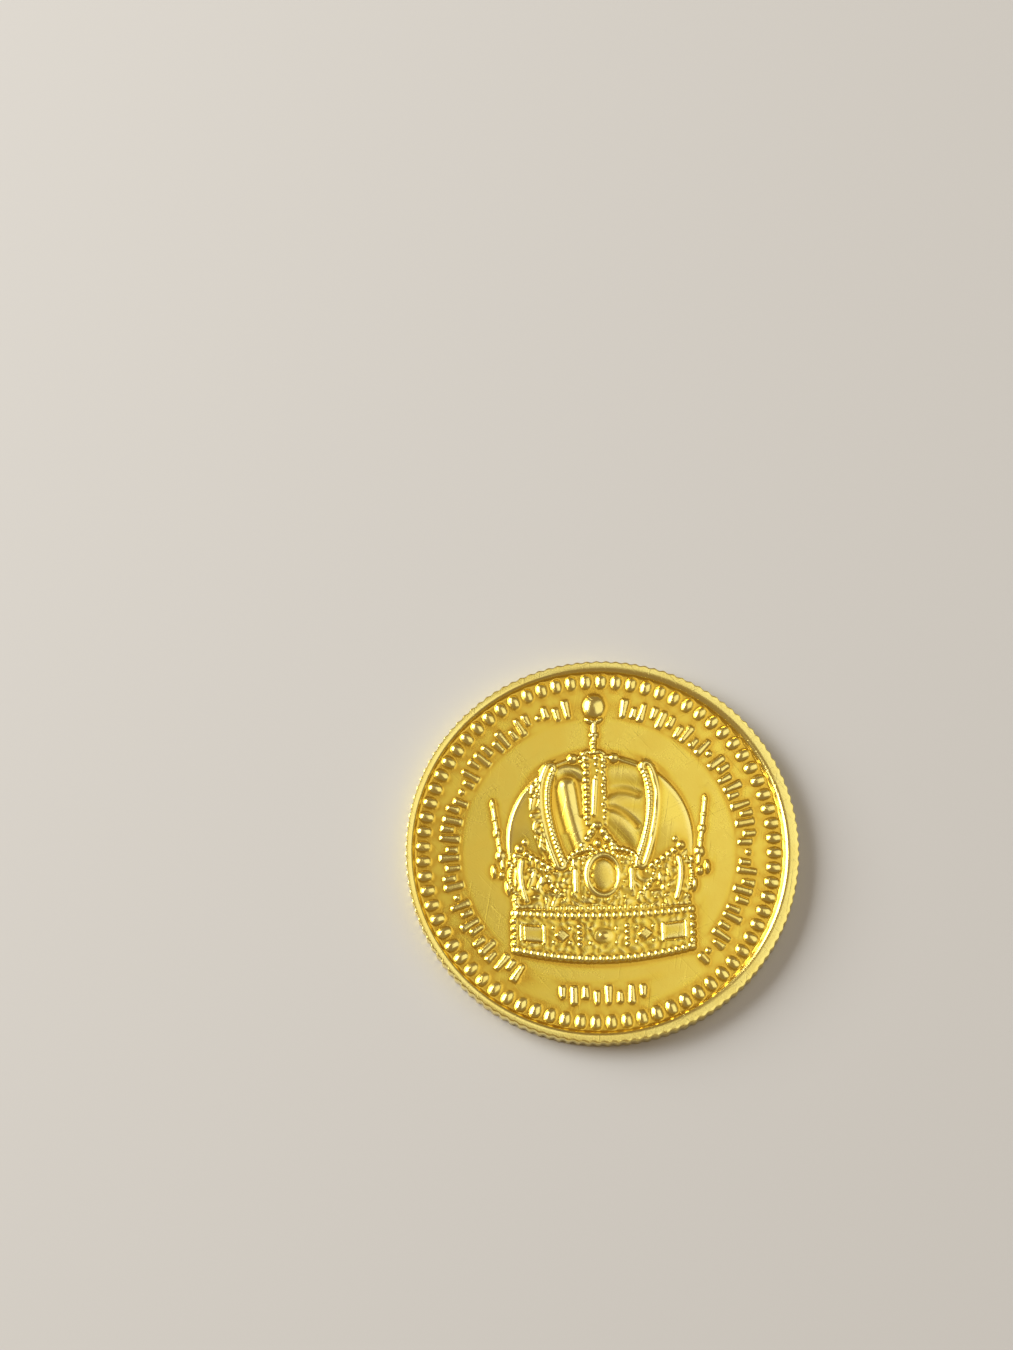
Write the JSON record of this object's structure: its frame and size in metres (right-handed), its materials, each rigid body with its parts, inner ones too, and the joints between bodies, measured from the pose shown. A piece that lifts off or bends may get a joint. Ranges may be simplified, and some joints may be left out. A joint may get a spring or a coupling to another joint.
{
  "type": "gold coin",
  "caption": "Round struck gold coin with a reeded edge, raised rims, a bead ring, rows of shallow strokes round a mitre crown, and a plain wreath and rosette on the back.",
  "frame": {"origin": "centre of the coin on the surface that it lies on, at the plane of the back rim", "axes": "+Z out of the front face, +Y from the centre towards the top of the crown, +X to the crown's right as seen from the front"},
  "size_m": [0.02, 0.02, 0.001],
  "materials": {
    "gold": "satin struck gold, pale yellow, brighter on the rim and the relief's tops"
  },
  "bodies": {
    "root": {"coin": "gold"}
  },
  "joints": []
}
